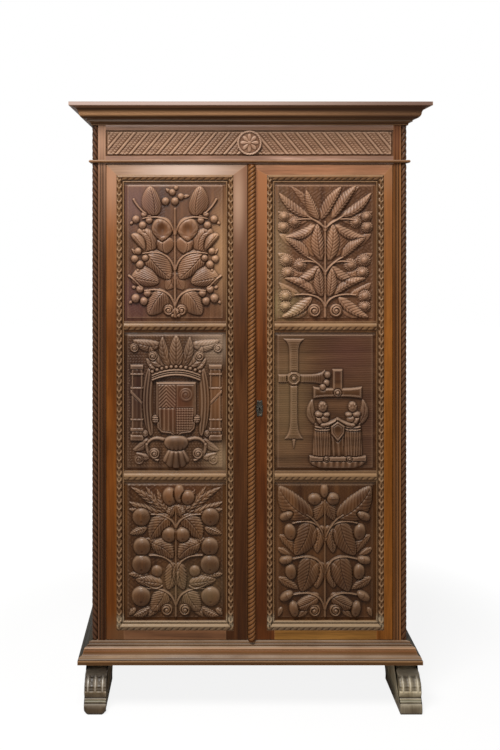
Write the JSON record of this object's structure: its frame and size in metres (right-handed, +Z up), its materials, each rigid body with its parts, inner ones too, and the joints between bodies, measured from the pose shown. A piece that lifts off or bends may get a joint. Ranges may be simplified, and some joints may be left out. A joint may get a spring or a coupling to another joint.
{
  "type": "carved two-door cupboard",
  "caption": "Tall carved wooden cupboard with a moulded cornice, paired panelled doors on pivots, rope-carved uprights, a stepped base, inner shelves and scroll-fronted runner feet.",
  "frame": {"origin": "on the floor, midway across the width and midway between the cornice front and the back", "axes": "+Z up, front towards -Y, +X to the right seen from the front"},
  "size_m": [1.239, 0.532, 2.1],
  "materials": {
    "wood_frame": "dark oiled hardwood, worn satin",
    "wood_carved": "carved dark hardwood, dusty in the hollows",
    "wood_moulding": "carved mouldings, rubbed on the high parts",
    "wood_inner": "plain unpolished boards",
    "dark_bronze": "darkened bronze",
    "wrought_iron": "dark iron, filed"
  },
  "bodies": {
    "carcass": {"foot_runner_left": "wood_frame", "foot_runner_right": "wood_frame", "base_front": "wood_frame", "base_left": "wood_frame", "base_right": "wood_frame", "base_back": "wood_inner", "floor_board": "wood_inner", "post_front_left": "wood_frame", "post_front_right": "wood_frame", "post_back_left": "wood_frame", "post_back_right": "wood_frame", "rope_column_left": "wood_moulding", "rope_column_right": "wood_moulding", "frieze_rope_left": "wood_moulding", "frieze_rope_right": "wood_moulding", "side_rails_left": "wood_frame", "side_rails_right": "wood_frame", "side_panels_left": "wood_frame", "side_panels_right": "wood_frame", "back_boards": "wood_inner", "frieze_rail_lower": "wood_frame", "frieze_rail_upper": "wood_frame", "frieze_panel": "wood_carved", "frieze_medallion": "wood_carved", "ledge_moulding": "wood_frame", "cornice_front": "wood_frame", "cornice_left": "wood_frame", "cornice_right": "wood_frame", "top_board": "wood_frame", "shelf_lower": "wood_inner", "shelf_upper": "wood_inner", "shelf_cleats": "wood_inner", "pivot_pins": "wrought_iron"},
    "door_left": {"door_left_stile_hinge": "wood_frame", "door_left_stile_meeting": "wood_frame", "door_left_rail_bottom": "wood_frame", "door_left_rails_middle": "wood_frame", "door_left_rail_top": "wood_frame", "door_left_panel_bottom": "wood_carved", "door_left_panel_middle": "wood_carved", "door_left_panel_top": "wood_carved", "door_left_mouldings": "wood_moulding", "door_left_pivot_bushes": "wrought_iron", "bolt_guides": "wrought_iron"},
    "door_right": {"door_right_stile_hinge": "wood_frame", "door_right_stile_meeting": "wood_frame", "door_right_rail_bottom": "wood_frame", "door_right_rails_middle": "wood_frame", "door_right_rail_top": "wood_frame", "door_right_panel_bottom": "wood_carved", "door_right_panel_middle": "wood_carved", "door_right_panel_top": "wood_carved", "door_right_mouldings": "wood_moulding", "door_right_pivot_bushes": "wrought_iron", "rope_astragal": "wood_moulding", "escutcheon": "dark_bronze", "lock_case": "wrought_iron"},
    "lock_bolt": {"lock_bolt": "wrought_iron"},
    "rod_top": {"bolt_rod_top": "wrought_iron"},
    "rod_bottom": {"bolt_rod_bottom": "wrought_iron"}
  },
  "joints": [
    {"name": "left_door_swing", "type": "hinge", "parent": "carcass", "child": "door_left", "pos_m": [-0.482, -0.185, 1.065], "axis": [0, 0, -1], "range_deg": [0, 110]},
    {"name": "right_door_swing", "type": "hinge", "parent": "carcass", "child": "door_right", "pos_m": [0.482, -0.185, 1.065], "axis": [0, 0, 1], "range_deg": [0, 110]},
    {"name": "lock_throw", "type": "slide", "parent": "door_right", "child": "lock_bolt", "axis": [-1, 0, 0], "range_m": [0, 0.012]},
    {"name": "top_bolt_slide", "type": "slide", "parent": "door_left", "child": "rod_top", "axis": [0, 0, 1], "range_m": [0, 0.014]},
    {"name": "bottom_bolt_slide", "type": "slide", "parent": "door_left", "child": "rod_bottom", "axis": [0, 0, -1], "range_m": [0, 0.014]}
  ]
}
